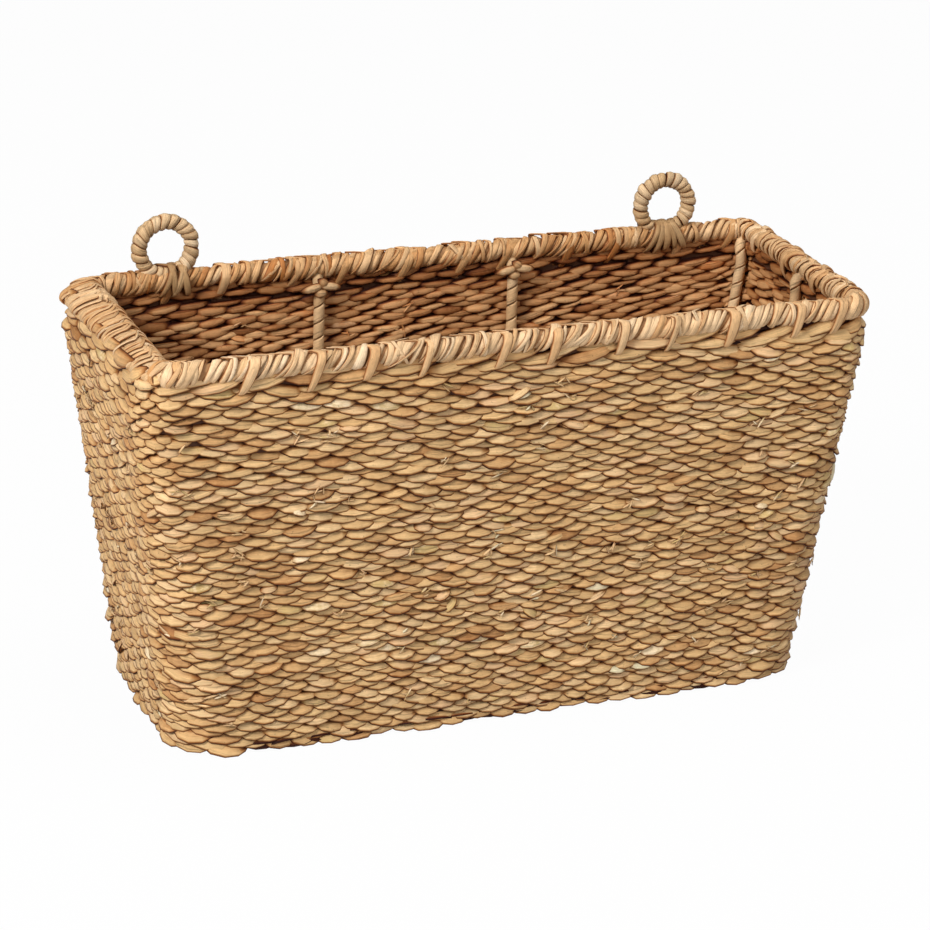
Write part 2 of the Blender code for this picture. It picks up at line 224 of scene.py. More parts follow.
# Painted shade on the inside's highest rows, under the rim, deepening towards the top.
UNDER_RIM_SHADE = 0.30
UNDER_RIM_SHADE_FROM = 0.205
UNDER_RIM_SHADE_REACH = 0.025
TOP_LOBE = (1.36, 1.10, 1.25)
TOP_UP = 0.0040
TOP_TILT = 7.0
TOP_LEAN = 0.3
# The top row takes only this share of the painted shade where its lobes dive.
TOP_DIVE_SHADE_SHARE = 0.35

LEAF_TINTS = (
    (0.00, (172, 118, 68)),
    (0.15, (198, 150, 98)),
    (0.35, (212, 170, 116)),
    (0.50, (218, 178, 124)),
    (0.62, (226, 190, 140)),
    (0.75, (220, 178, 132)),
    (0.86, (206, 174, 114)),
    (0.93, (236, 210, 172)),
    (1.00, (222, 208, 170)),
)
# The inside's tints are browner and darker than the outside's: partly the leaf's own colour, partly painted
# shade for the inside of the basket.
INSIDE_SHADED_TINTS = (
    (0.00, (134, 80, 40)),
    (0.20, (172, 118, 70)),
    (0.50, (204, 152, 102)),
    (0.75, (218, 170, 118)),
    (0.88, (206, 134, 76)),
    (1.00, (222, 188, 144)),
)
SHADOW = (
    (0.00, (1.0, 1.0, 1.0, 1.0)),
    (0.30, (0.57, 0.40, 0.27, 1.0)),
    (0.65, (0.20, 0.08, 0.026, 1.0)),
    (1.00, (0.05, 0.012, 0.002, 1.0)),
)


def outline(left, right, front, back, corner):
    """Points round a rounded rectangle, from the middle of its back round by the left."""
    points = [((left + right) / 2, back)]
    centres = ((left + corner, back - corner), (left + corner, front + corner),
               (right - corner, front + corner), (right - corner, back - corner))
    for quarter, (x, y) in enumerate(centres):
        for step in range(CORNER_STEPS + 1):
            turn = math.radians(90 * (quarter + 1 + step / CORNER_STEPS))
            points.append((x + corner * math.cos(turn), y + corner * math.sin(turn)))
    points.append(points[0])
    return np.array(points)


def girths(points):
    """How far each point of an outline is from its first one, along it."""
    return np.concatenate([[0], np.cumsum(np.linalg.norm(np.diff(points, axis=0), axis=1))])


floor_low, floor_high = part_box("floor_weave")
wall_low, wall_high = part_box("wall_weave")
rim_low, rim_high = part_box("rim_rod")
rim_height = (rim_low.z + rim_high.z) / 2
rim_sides = (rim_low.x + RIM_ROD, rim_high.x - RIM_ROD, rim_low.y + RIM_ROD, rim_high.y - RIM_ROD)
foot_line = outline(floor_low.x, floor_high.x, floor_low.y, floor_high.y, FOOT_CORNER)
shoulder_line = outline(wall_low.x, wall_high.x, wall_low.y, wall_high.y, SHOULDER_CORNER)
lip_line = outline(
    rim_sides[0] - LEFT_LIP_OUTSIDE, rim_sides[1] + LIP_OUTSIDE,
    rim_sides[2] - LIP_OUTSIDE, rim_sides[3] + LIP_OUTSIDE, RIM_CORNER + LIP_OUTSIDE,
)
wall_lines = np.array([foot_line, shoulder_line, lip_line])
wall_heights = np.array([wall_low.z, rim_height - SHOULDER_DROP, rim_height - LIP_DROP])
wall_girths = np.array([girths(line)[-1] for line in wall_lines])
middle_line = (foot_line + shoulder_line) / 2
wall_turns = girths(middle_line) / girths(middle_line)[-1]
left_end = wall_turns[[0, 6, 17, 28]]


def at_left(turn):
    """How far places round the wall lie in its left end, from 0 to 1."""
    return np.interp(turn % 1, left_end, (0, 1, 1, 0))


def wall_face(turn, height):
    """Points of the wall's outer face, by the share of a turn from the back's middle and the height."""
    turn = turn % 1.0
    xs = np.array([np.interp(turn, wall_turns, line[:, 0]) for line in wall_lines])
    ys = np.array([np.interp(turn, wall_turns, line[:, 1]) for line in wall_lines])
    level = np.interp(height, wall_heights, np.arange(len(wall_heights)))
    below = np.minimum(level.astype(int), len(wall_heights) - 2)
    share = level - below

    def eased(values):
        low = np.take_along_axis(values, below[None], 0)[0]
        high = np.take_along_axis(values, below[None] + 1, 0)[0]
        return low * (1 - share) + high * share

    return np.stack([eased(xs), eased(ys), height], -1)


def on_wall(turn, height, along, up, out):
    """Points that far along, up and out from places on the wall's outer face."""
    turn = turn + along / np.interp(height, wall_heights, wall_girths)
    height = height + up
    face = wall_face(turn, height)
    forward = wall_face(turn + 0.001, height) - wall_face(turn - 0.001, height)
    upward = wall_face(turn, height + 0.002) - wall_face(turn, height - 0.002)
    normal = np.cross(forward, upward)
    return face + normal / np.linalg.norm(normal, axis=-1, keepdims=True) * out[..., None]


def finished(shape, name):
    """The mesh that a shape has come to."""
    mesh = bpy.data.meshes.new(name)
    shape.to_mesh(mesh)
    shape.free()
    return mesh


def new_piece(mesh):
    """A piece in the scene, made of a mesh and named like it."""
    piece = bpy.data.objects.new(mesh.name, mesh)
    bpy.context.scene.collection.objects.link(piece)
    return piece


def set_uv(mesh, layer, spots):
    mesh.uv_layers[layer].uv.foreach_set("vector", spots.astype(np.float32).ravel())


def leaf_lobe():
    """One leaf lobe, 2 long, 2 wide and 2 thick, pointed at its ends and nearly flat on its faces."""
    shape = bmesh.new()
    bmesh.ops.create_uvsphere(shape, u_segments=8, v_segments=6, radius=1.0)
    bmesh.ops.rotate(shape, verts=shape.verts, matrix=Matrix.Rotation(math.pi / 2, 3, "Y"))
    across = shape.verts.layers.float.new("across")
    for vertex in shape.verts:
        reach, girth = LOBE_TAPER[round(math.degrees(math.acos(min(1.0, abs(vertex.co.x)))) / 30)]
        wide, lift = LOBE_SECTION[round(math.degrees(math.atan2(vertex.co.z, vertex.co.y)) / 45) % 8]
        vertex[across] = wide
        vertex.co = (math.copysign(reach, vertex.co.x), wide * girth, lift * girth)
    leaf = shape.loops.layers.uv.new("leaf")
    bake = shape.loops.layers.uv.new("OFBake")
    for face in shape.faces:
        face.smooth = True
        shown = face.calc_center_median().z > 0
        sides = [vertex[across] for vertex in face.verts if abs(vertex.co.x) < 0.99]
        for loop in face.loops:
            wide = loop.vert[across] if abs(loop.vert.co.x) < 0.99 else sum(sides) / len(sides)
            wide = (wide + 1) / 2
            loop[leaf].uv = ((loop.vert.co.x + 1) / 2, wide)
            loop[bake].uv = ((loop.vert.co.x + 1) / 2, wide * 0.84 if shown else 0.9 + wide * 0.1)
    shape.verts.layers.float.remove(across)
    return finished(shape, "leaf_lobe")


def copies(mesh, count, name):
    """A piece that holds a small mesh so many times, with a bake cell for each."""
    shape = bmesh.new()
    for _ in range(count):
        shape.from_mesh(mesh)
    made = finished(shape, name)
    cells = math.ceil(math.sqrt(count))
    spots = np.empty(len(made.loops) * 2, np.float32)
    made.uv_layers["OFBake"].uv.foreach_get("vector", spots)
    spots = spots.reshape(count, -1, 2) * 0.9 + 0.05
    order = np.arange(count)
    corner = np.stack([order % cells, order // cells], -1)
    set_uv(made, "OFBake", (spots + corner[:, None]) / cells)
    return new_piece(made)


def corners_of(mesh):
    points = np.empty(len(mesh.vertices) * 3, np.float32)
    mesh.vertices.foreach_get("co", points)
    return points.reshape(-1, 3).astype(float)


def set_corners(piece, points, **marks):
    """Moves a piece's vertices, and gives it the named values for its material."""
    piece.data.vertices.foreach_set("co", points.astype(np.float32).ravel())
    for name, values in marks.items():
        mark = piece.data.attributes.new(name, "FLOAT", "POINT")
        mark.data.foreach_set("value", np.asarray(values, np.float32).ravel())
    piece.data.update()


lobe = leaf_lobe()
lobe_points = corners_of(lobe)
LENGTH, WIDTH, DEPTH, TILT, BOW, DIVE, OUT, ROLL = range(8)


def lobe_sizes(count, lean=LOBE_LEAN):
    """Sizes of that many lobes, a column for each size, each a little different, as hand-split leaf is."""
    return np.stack([
        LOBE_LENGTH * chance.normal(1.0, 0.07, count),
        LOBE_WIDTH * chance.normal(1.0, 0.16, count),
        LOBE_DEPTH * chance.normal(1.0, 0.10, count),
        np.radians(chance.normal(0.0, 4.5, count)),
        np.zeros(count),
        LOBE_DIVE * chance.normal(1.0, 0.15, count),
        chance.normal(LOBE_OUT, 0.00035, count),
        chance.normal(-lean, 0.12, count),
    ], -1)


def lay_lobes(name, surface, across, up, side, sizes, tints, added_shade=0.0, dive_shade_share=1.0):
    """Lays leaf lobes on the outer (1) or inner (-1) side of a surface, with painted shade where they dive.
    """
    length, width, depth, tilt, bow, dive, out, roll = (column[:, None] for column in sizes.T)
    x, y, z = lobe_points.T
    along = x * length / 2
    rise = y * width / 2 + bow * (1 - x**2)
    lift = z * depth / 2 - dive * np.abs(x) ** LOBE_DIVE_POWER + roll * y * width / 2
    turned = along * np.cos(tilt) - rise * np.sin(tilt)
    raised = along * np.sin(tilt) + rise * np.cos(tilt)
    places = [np.broadcast_to(values[:, None], turned.shape) for values in (across, up)]
    points = surface(*places, turned * side, raised, side * (out + lift))
    points[..., 2] = np.maximum(points[..., 2], RESTING)
    # Painted shade where a lobe's face sinks below its crown, scaled for some rows, plus any shade added for
    # the row.
    sunk = np.clip((-lift + depth / 2 - SUNK_FROM) / SUNK_REACH, 0, 1) * dive_shade_share
    shade = np.clip(sunk + np.reshape(added_shade, (-1, 1)), 0, 1)
    piece = copies(lobe, len(across), name)
    each = len(lobe_points)
    seed = np.repeat(chance.random(len(tints)), each)
    set_corners(piece, points.reshape(-1, 3), tint=np.repeat(tints, each), shade=shade, seed=seed)
    return piece


def leaf_finish(name, tints, streak=0.5, edges=(0.25, 1.25, 0.12, 0.55), ends=0.0):
    """Dried leaf: a tint for each strand, fibres and a fold along it, specks, and painted shade where it
    dives.

    Edges gives how far in the painted shade of the lower edge reaches and how deep it is, then the upper
    edge's. Ends gives the painted shade at the tips.
    """
    material, shader, start = new_finish(name)
    tint, shade, seed = (
        start.node("Attribute", {"attribute_name": mark}, output="Fac") for mark in ("tint", "shade", "seed")
    )
    leaf = start.node("UVMap", {"uv_map": "leaf"})
    along, across = (start.node("SeparateXYZ", inputs={0: leaf}, output=axis) for axis in "XY")
    apart = seed * 173.0
    fibre_place = start.node("CombineXYZ", inputs={0: along * 1.8 + apart, 1: across * 8.0, 2: apart})
    fibres = noise(fibre_place, 1.0, 3.0, 0.6)
    thread_place = start.node("CombineXYZ", inputs={0: along * 4.0 + apart, 1: across * 30.0, 2: apart})
    threads = noise(thread_place, 1.0, 2.0)
    spot = start.node("TexCoord", output="Object")
    blotches = noise(spot, 170.0, 4.0, 0.65)
    specks = ((noise(spot, 620.0, 1.0) - 0.68) * 9.0).limit()
    patches = noise(spot, 17.0, 1.0) - 0.5
    fold_place = (seed * 61.0).fraction() * 1.4 - 0.2 + (fibres - 0.5) * 0.35
    # The fold line is darkened in colour, as painted shade in the crease, and dented by the bump.
    fold = (1.0 - abs(across - fold_place) * 18.0).limit()
    paleness = (seed * 97.0).fraction()
    hue = (tint + (blotches - 0.5) * 0.22 + patches * 0.3).limit()
    colour = start.node("ValToRGB", {"stops": [(place, linear(shown)) for place, shown in tints]}, {0: hue})
    tone = (
        (fibres - 0.5) * streak + (threads - 0.5) * streak * 0.9 + (blotches - 0.5) * 0.36
        + paleness * 0.18 + patches * 0.2 + 0.90 - specks * 0.35 - fold * 0.30
    )
    colour = start.node("VectorMath", {"operation": "SCALE"}, {0: colour, "Scale": tone})
    low_reach, low_depth, high_reach, high_depth = edges
    # Painted shade along the lower and upper edges, towards the tips, and from the shade mark, turned into
    # colour by the shadow ramp.
    low_edge = ((low_reach - across) * (1 / low_reach)).limit() ** 1.4 * low_depth
    high_edge = ((across - (1.0 - high_reach)) * (1 / high_reach)).limit() ** 1.4 * high_depth
    tips = abs(along * 2.0 - 1.0) ** 4.0 * ends
    deep = (shade ** 1.2 + low_edge + high_edge + tips).limit()
    shadow = start.node("ValToRGB", {"stops": SHADOW}, {0: deep})
    shader.inputs["Specular IOR Level"].default_value = 0.2
    connect(
        shader,
        Base_Color=start.node("VectorMath", {"operation": "MULTIPLY"}, {0: colour, 1: shadow}),
        Roughness=fibres * 0.25 + 0.42,
        Normal=bump(fibres * 0.5 + threads * 0.4 - fold * 0.5, 0.7, 0.0009),
    )
    return material


wall_leaf = leaf_finish("wall_leaf", LEAF_TINTS, streak=0.74, ends=0.45)
inside_leaf = leaf_finish("inside_leaf", INSIDE_SHADED_TINTS, edges=(0.24, 0.9, 0.20, 0.8), ends=0.3)


def stitch_places(rows, count):
    """Places of the lobes in some rows: share of a turn, height, and whether each is the upper lobe."""
    row, stitch, second = np.meshgrid(rows, np.arange(count), (0, 1), indexing="ij")
    row, stitch, second = row.ravel(), stitch.ravel(), second.ravel()
    drift = np.cumsum(chance.normal(0, 0.06, ROWS + 1))
    turn = (stitch + drift[row] + chance.normal(0, 0.035, len(row))) / count
    long_wave, short_wave = ROW_WAVES
    wave = long_wave * np.sin(turn * 40 + row * 0.9) + short_wave * np.sin(turn * 93 - row * 1.7)
    height = LOWEST_ROW + (HIGHEST_ROW - LOWEST_ROW) * row / (ROWS - 1) + wave
    return turn, height + chance.normal(0, 0.00035, len(row)), second


def drawn_in(height):
    """How far the lowest rows are drawn in, as the wall turns under to the floor."""
    return np.clip(1 - height / DRAWN_HEIGHT, 0, 1) * DRAWN_DEPTH


def mixed(count):
    """Tints for so many lobes, most of them near the middle of the leaf's range."""
    return chance.beta(3.0, 3.4, count)


def twine(name, rows, side, depth, stitches=STITCHES, grow=(1.0, 1.0, 1.0), second_up=SECOND_UP,
          tilt=LOBE_TILT, lean=LOBE_LEAN, dive_shade_share=1.0):
    """Some rows of the wall's twining, on its outer face (side 1) or its inner face (side -1)."""
    turn, height, second = stitch_places(rows, stitches)
    sizes = lobe_sizes(len(turn), lean)
    sizes[:, BOW] = np.where(second, UPPER_BOW, LOWER_BOW)
    sizes[:, TILT] += math.radians(tilt)
    added_shade = np.zeros(len(turn))
    if side < 0:
        sizes[:, :TILT] *= INSIDE_LOBE
        sizes[:, BOW] *= INSIDE_BOW
        sizes[:, ROLL] += LOBE_LEAN * INSIDE_LEAN
        height = height + np.where(height > HIGHEST_ROW - ROW_NEAR / 2, INSIDE_TOP_UP, 0.0)
        # Painted shade on the inside's rows under the rim.
        added_shade = np.clip((height - UNDER_RIM_SHADE_FROM) / UNDER_RIM_SHADE_REACH, 0, 1) * UNDER_RIM_SHADE
    girth = np.interp(height, wall_heights, wall_girths)
    turn = turn + side * second * SECOND_ACROSS * grow[0] / girth
    lowest = height < LOWEST_ROW + ROW_NEAR
    if side > 0:
        climb = np.clip((height - CLIMB_FROM) / (HIGHEST_ROW - CLIMB_FROM), 0, 1) ** 1.5
        left = at_left(turn)
        behind = wall_face(turn, height)[:, 1] > wall_high.y - BACK_BAND
        top = height > HIGHEST_ROW - ROW_NEAR
        height = height + left * climb * LEFT_END_LIFT + behind * top * (1 - left) * BACK_LIFT
    height = height + second * second_up
    sizes[:, :TILT] *= grow
    sizes[:, LENGTH] *= girth / wall_girths.mean() * np.where(lowest, LOWEST_LOBE[0], 1.0)
    sizes[:, WIDTH] *= np.where(lowest, LOWEST_LOBE[1], 1.0) * np.where(second, 0.95, 1.03)
    sizes[:, OUT] += depth - (side > 0) * (drawn_in(height) + OUTSIDE_SUNK) - second * UPPER_SUNK
    return lay_lobes(name, on_wall, turn, height, side, sizes, mixed(len(turn)), added_shade, dive_shade_share)


def dress(piece, material, slot, *nodes):
    """Gives a finished piece its material and puts it in place of CAD nodes. The slot is not used."""
    piece.data.materials.append(material)
    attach(piece, "root")
    if nodes:
        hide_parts(*nodes)


halves = (("upper", range(ROWS // 2, ROWS)), ("lower", range(ROWS // 2)))
for half, rows in halves:
    outside = twine(f"wall_outside_{half}", [row for row in rows if row < ROWS - 1], 1, 0.0)
    dress(outside, wall_leaf, "leaf_weave", "wall_weave")
    inside = twine(f"wall_inside_{half}", list(rows), -1, WALL_THICKNESS, tilt=INSIDE_TILT)
    dress(inside, inside_leaf, "leaf_weave", "wall_weave")
top_row = twine(
    "wall_top_row", [ROWS - 1], 1, 0.0, TOP_STITCHES, TOP_LOBE, TOP_UP,
    tilt=TOP_TILT, lean=TOP_LEAN, dive_shade_share=TOP_DIVE_SHADE_SHARE,
)
dress(top_row, wall_leaf, "leaf_weave", "wall_weave")


# Loose ends on the wall: where a new strand is joined in, its old end is left short and frays.
# Thin pale slivers that stand off the rows, and here and there a wider leaf that lies across them.
TUFTS = {"outside": 230, "inside": 70}
TUFT_SLIVERS = 3
SLIVER_LENGTHS = (0.0035, 0.0095)
SLIVER_WIDTHS = (0.0006, 0.0014)
SLIVER_DEPTH = 0.0006
SLIVER_DIVES = (-0.0008, 0.0010)
SLIVER_OUTS = (0.0002, 0.0010)
FLAGS = {"outside": 90, "inside": 40}
FLAG_LENGTHS = (0.012, 0.020)
FLAG_WIDTHS = (0.0040, 0.0066)
FLAG_DEPTH = 0.0022
FLAG_DIVE = 0.0018
FLAG_OUT = -0.0004

for face, side, depth, finish in (
    ("outside", 1, 0.0, wall_leaf),
    ("inside", -1, WALL_THICKNESS, inside_leaf),
):
    tufts, count = TUFTS[face], TUFTS[face] * TUFT_SLIVERS
    turn = np.repeat(chance.random(tufts), TUFT_SLIVERS) + chance.normal(0, 0.0014, count)
    height = np.repeat(chance.uniform(0.012, 0.222, tufts), TUFT_SLIVERS) + chance.normal(0, 0.0012, count)
    sizes = lobe_sizes(count)
    sizes[:, LENGTH] = chance.uniform(*SLIVER_LENGTHS, count)
    sizes[:, WIDTH] = chance.uniform(*SLIVER_WIDTHS, count)
    sizes[:, DEPTH] = SLIVER_DEPTH
    sizes[:, TILT] = chance.normal(0.2, 0.7, count)
    sizes[:, DIVE] = chance.uniform(*SLIVER_DIVES, count)
    sizes[:, OUT] = chance.uniform(*SLIVER_OUTS, count) + depth
    tints = chance.uniform(0.55, 0.98, count)
    slivers = lay_lobes(f"loose_fibres_{face}", on_wall, turn, height, side, sizes, tints)
    dress(slivers, finish, "leaf_weave", "wall_weave")
    count = FLAGS[face]
    sizes = lobe_sizes(count)
    sizes[:, LENGTH] = chance.uniform(*FLAG_LENGTHS, count)
    sizes[:, WIDTH] = chance.uniform(*FLAG_WIDTHS, count)
    sizes[:, DEPTH] = FLAG_DEPTH
    sizes[:, TILT] = chance.normal(0.15, 0.35, count)
    sizes[:, DIVE] = FLAG_DIVE
    sizes[:, OUT] = FLAG_OUT + depth
    turn = chance.random(count)
    height = chance.uniform(0.015, 0.216, count)
    tints = chance.uniform(0.5, 1.0, count)
    flags = lay_lobes(f"loose_leaves_{face}", on_wall, turn, height, side, sizes, tints)
    dress(flags, finish, "leaf_weave", "wall_weave")


# Core of the wall: the upright stakes and the strands' hidden halves, packed tight between the two faces.
# Brown leaf, coloured dark as painted shade, since it lies out of the light. It closes the wall, so nothing
# shows through between the stitches.
CORE_OUT = -0.0030
CORE_THICKNESS = 0.0020
CORE_STEPS = 220
CORE_SHORT = 0.0010
CORE_LIFT = 0.0052
CORE_BROWN = (70, 34, 12)
CORE_SHADE = (86, 48, 20)

core_finish, shader, start = new_finish("core_leaf")
mottle = noise(start.node("TexCoord", output="Object"), 260.0, 4.0)
connect(
    shader,
    Base_Color=mottle.blend(linear(CORE_BROWN), linear(CORE_SHADE)),
    Roughness=mottle * 0.2 + 0.7,
    Normal=bump(mottle, 0.6, 0.001),
)

shape = bmesh.new()
bmesh.ops.create_grid(shape, x_segments=CORE_STEPS, y_segments=12, size=0.5)
core = new_piece(finished(shape, "wall_core"))
core_turn, core_share = corners_of(core.data)[:, :2].T + 0.5
core_rise = wall_heights[-1] - CORE_SHORT - LOWEST_ROW + at_left(core_turn) * CORE_LIFT
core_up = core_share * core_rise
core_out = CORE_OUT - drawn_in(LOWEST_ROW + core_up) * 1.4
core_foot = np.full_like(core_up, LOWEST_ROW)
set_corners(core, on_wall(core_turn, core_foot, np.zeros_like(core_up), core_up, core_out))
shape = bmesh.new()
shape.from_mesh(core.data)
bmesh.ops.remove_doubles(shape, verts=shape.verts, dist=0.00005)
bmesh.ops.recalc_face_normals(shape, faces=shape.faces)
bmesh.ops.solidify(shape, geom=shape.faces[:], thickness=CORE_THICKNESS)
bmesh.ops.recalc_face_normals(shape, faces=shape.faces)
shape.to_mesh(core.data)
shape.free()
dress(core, core_finish, "leaf_weave", "wall_weave")


# Woven floor: straight rows of the same twining from end to end, inside the wall's lowest row.
# The same leaf; its top takes the inside's darker tints, which are partly painted shade. The wall's stakes
# start in it.
FLOOR_PITCH = 0.0073
FLOOR_STITCH = 0.0176
FLOOR_MARGIN = 0.0035
FLOOR_TOP = 0.0078
FLOOR_UNDER = 0.0010
FLOOR_FIRST_ROW = 0.004
FLOOR_CORE_SHARE = 0.97
FLOOR_CORE_LOW = 0.0040
FLOOR_CORE_THICKNESS = 0.0014


def inside_outline(x, y, margin):
    """Whether points lie inside the floor's rounded outline, by at least that margin."""
    centre_x = np.clip(x, floor_low.x + FOOT_CORNER, floor_high.x - FOOT_CORNER)
    centre_y = np.clip(y, floor_low.y + FOOT_CORNER, floor_high.y - FOOT_CORNER)
    return np.hypot(x - centre_x, y - centre_y) < FOOT_CORNER - margin


def on_floor(x, y, along, up, out):
    """Points that far along, up and out from places on the floor's top."""
    return np.stack([x + along, y + up, FLOOR_TOP + out], -1)


def floor_twining(name, side):
    """The floor's rows, on its top (side 1) or its underside (side -1)."""
    columns = np.arange(floor_low.x, floor_high.x, FLOOR_STITCH)
    lines = np.arange(floor_low.y + FLOOR_FIRST_ROW, floor_high.y, FLOOR_PITCH)
    x, y, second = (grid.ravel() for grid in np.meshgrid(columns, lines, (0, 1), indexing="ij"))
    x = x + side * second * SECOND_ACROSS + chance.normal(0, 0.0006, len(x))
    y = y + second * SECOND_UP + chance.normal(0, 0.0003, len(y))
    kept = np.ones(len(x), bool)
    for end in (-0.5, 0.0, 0.5):
        kept &= inside_outline(x + end * LOBE_LENGTH, y, FLOOR_MARGIN)
    x, y = x[kept], y[kept]
    sizes = lobe_sizes(len(x), lean=0.0)
    sizes[:, OUT] += 0.0 if side > 0 else FLOOR_TOP - FLOOR_UNDER
    return lay_lobes(name, on_floor, x, y, side, sizes, mixed(len(x)))


dress(floor_twining("floor_inside", 1), inside_leaf, "leaf_weave", "floor_weave")
dress(floor_twining("floor_underside", -1), wall_leaf, "leaf_weave", "floor_weave")

shape = bmesh.new()
edge = [shape.verts.new((x, y, FLOOR_CORE_LOW)) for x, y in foot_line[:-1] * FLOOR_CORE_SHARE]
bottom = shape.faces.new(edge)
grown = bmesh.ops.extrude_face_region(shape, geom=[bottom])
raised = [part for part in grown["geom"] if isinstance(part, bmesh.types.BMVert)]
bmesh.ops.translate(shape, verts=raised, vec=(0, 0, FLOOR_CORE_THICKNESS))
bmesh.ops.recalc_face_normals(shape, faces=shape.faces)
dress(new_piece(finished(shape, "floor_core")), core_finish, "leaf_weave", "floor_weave")


# Frame windings: every rod of the frame is wound from end to end with a flat leaf before the weaving.
# Smooth greyish leaf, one turn laid against the next, so a thin dark line runs round the rod aslant, deepened
# by painted shade at each turn's edges.
# The struts' windings reach up to the rim, and the two behind end in a knot there.
STRUT_RADIUS = 0.0034
STRUT_PITCH = 0.0104
FLOOR_ROD_RADIUS = 0.0037
SLEEVE_THICKNESS = 0.0005
LONGEST_STRAIGHT = 0.5
TURNS_A_LINE = 6
BASE_ROD = 0.0020
BASE_CORNER_INSET = 0.0121
KNOT_LENGTHS = (0.0165, 0.0165, 0.0100, 0.0085)
KNOT_WIDTH = 0.0056
KNOT_DEPTH = 0.0052
KNOT_TILTS = (0.22, -0.16, 0.05, -0.6)
KNOT_DIVE = 0.0010
KNOT_ACROSS = (-0.0052, 0.0056, 0.0, 0.0016)
KNOT_UP = (0.0, 0.0006, -0.0034, 0.0030)
KNOT_IN_FRONT = 0.0012
KNOT_BELOW_TOP = 0.0085
KNOT_TINTS = (0.45, 0.6, 0.3, 0.05)
SLEEVE_TINTS = (
    (0.00, (176, 132, 88)),
    (0.35, (204, 164, 118)),
    (0.70, (216, 180, 136)),
    (1.00, (226, 194, 152)),
)


def winding(name, turns, pitch, radius, width, thickness, steps=14, left_handed=True, squareness=0.8):
    """A flat strand wound round the upright axis, and each vertex's turn, place across and face."""
    shape = bmesh.new()
    key = shape.verts.layers.float.new("order")
    profile = []
    for order, vertex in enumerate(bmesh.ops.create_circle(shape, segments=8, radius=1.0)["verts"]):
        wide, thick = vertex.co.x, math.copysign(abs(vertex.co.y) ** squareness, vertex.co.y)
        vertex.co = (radius + thick * thickness / 2, 0, wide * width / 2)
        vertex[key] = order
        profile.append((wide, thick, vertex.co.z))
    count = round(turns * steps)
    bmesh.ops.spin(
        shape, geom=shape.verts[:] + shape.edges[:], cent=(0, 0, 0), axis=(0, 0, 1),
        dvec=(0, 0, pitch / steps), angle=(-1 if left_handed else 1) * math.tau * count / steps, steps=count,
        use_merge=False, use_normal_flip=False, use_duplicate=False,
    )
    for face in shape.faces:
        face.smooth = True
    shape.loops.layers.uv.new("leaf")
    shape.loops.layers.uv.new("OFBake")
    mesh = finished(shape, name)
    orders = np.empty(len(mesh.vertices), np.float32)
    mesh.attributes["order"].data.foreach_get("value", orders)
    mesh.attributes.remove(mesh.attributes["order"])
    across, face, foot = np.array(profile)[orders.round().astype(int)].T
    turned = np.round((corners_of(mesh)[:, 2] - foot) / (pitch / steps)) / steps
    corners = np.empty(len(mesh.loops), np.int32)
    mesh.loops.foreach_get("vertex_index", corners)
    quads = corners.reshape(-1, 4)
    whole = np.repeat(np.floor(turned[quads].min(1) + 1e-6), 4)
    shown = np.repeat(face[quads].sum(1) > 0, 4)
    wide = (across[corners] + 1) / 2
    set_uv(mesh, "leaf", np.stack([turned[corners] * 1.5, wide], -1))
    lines = math.ceil((turns + 1) / TURNS_A_LINE)
    spot = ((turned[corners] - whole) * 0.92 + 0.04 + whole % TURNS_A_LINE) / TURNS_A_LINE
    line = (np.where(shown, wide * 0.8 + 0.04, wide * 0.08 + 0.88) + whole // TURNS_A_LINE) / lines
    set_uv(mesh, "OFBake", np.stack([spot, line], -1))
    return new_piece(mesh), turned, across, face


def bend(piece, path, points, **marks):
    """Bends a winding that stands upright along a path, then joins its ends, or closes them."""
    centre, first, second = path(points[:, 2])
    set_corners(piece, centre + first * points[:, :1] + second * points[:, 1:2], **marks)
    shape = bmesh.new()
    shape.from_mesh(piece.data)
    bmesh.ops.remove_doubles(shape, verts=shape.verts, dist=0.000002)
    open_edges = [edge for edge in shape.edges if edge.is_boundary]
    bmesh.ops.holes_fill(shape, edges=open_edges, sides=0)
    bmesh.ops.recalc_face_normals(shape, faces=shape.faces)
    shape.to_mesh(piece.data)
    shape.free()


def for_turns(turned, values):
    """One value for each whole turn."""
    return values[np.floor(turned + 1e-6).astype(int) % len(values)]


def uneven(turned, size):
    """A value for each turn of a winding, drawn anew for each and eased from one to the next."""
    values = chance.normal(0, size, int(np.ceil(turned.max())) + 1)
    whole = np.floor(turned).astype(int)
    share = turned - whole
    share = share * share * (3 - 2 * share)
    count = len(values) - 1
    return values[whole % count] * (1 - share) + values[(whole + 1) % count] * share


def along_rod(node):
    """The path up a bent rod, through the middles of its rings of vertices, and its length."""
    points = np.unique(corners_of(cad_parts[node].data).round(6), axis=0)
    forward = np.linalg.svd(points - points.mean(0), full_matrices=False)[2][0]
    reach = (points - points.mean(0)) @ forward * (np.sign(forward[2]) if abs(forward[2]) > 0.2 else 1)
    order = np.argsort(reach)
    rings = np.split(points[order], np.nonzero(np.diff(reach[order]) > 0.0015)[0] + 1)
    middles = np.array([(ring.min(0) + ring.max(0)) / 2 for ring in rings])
    marks = girths(middles)

    def place(length):
        return np.stack([np.interp(length, marks, middles[:, axis]) for axis in range(3)], -1)

    def path(length):
        length = np.clip(length, 0, marks[-1])
        ahead = place(length + 0.003) - place(length - 0.003)
        ahead /= np.linalg.norm(ahead, axis=-1, keepdims=True)
        first = np.cross(ahead, (1.0, 0.0, 0.0))
        first /= np.linalg.norm(first, axis=-1, keepdims=True)
        return place(length), first, np.cross(ahead, first)

    return path, marks[-1]


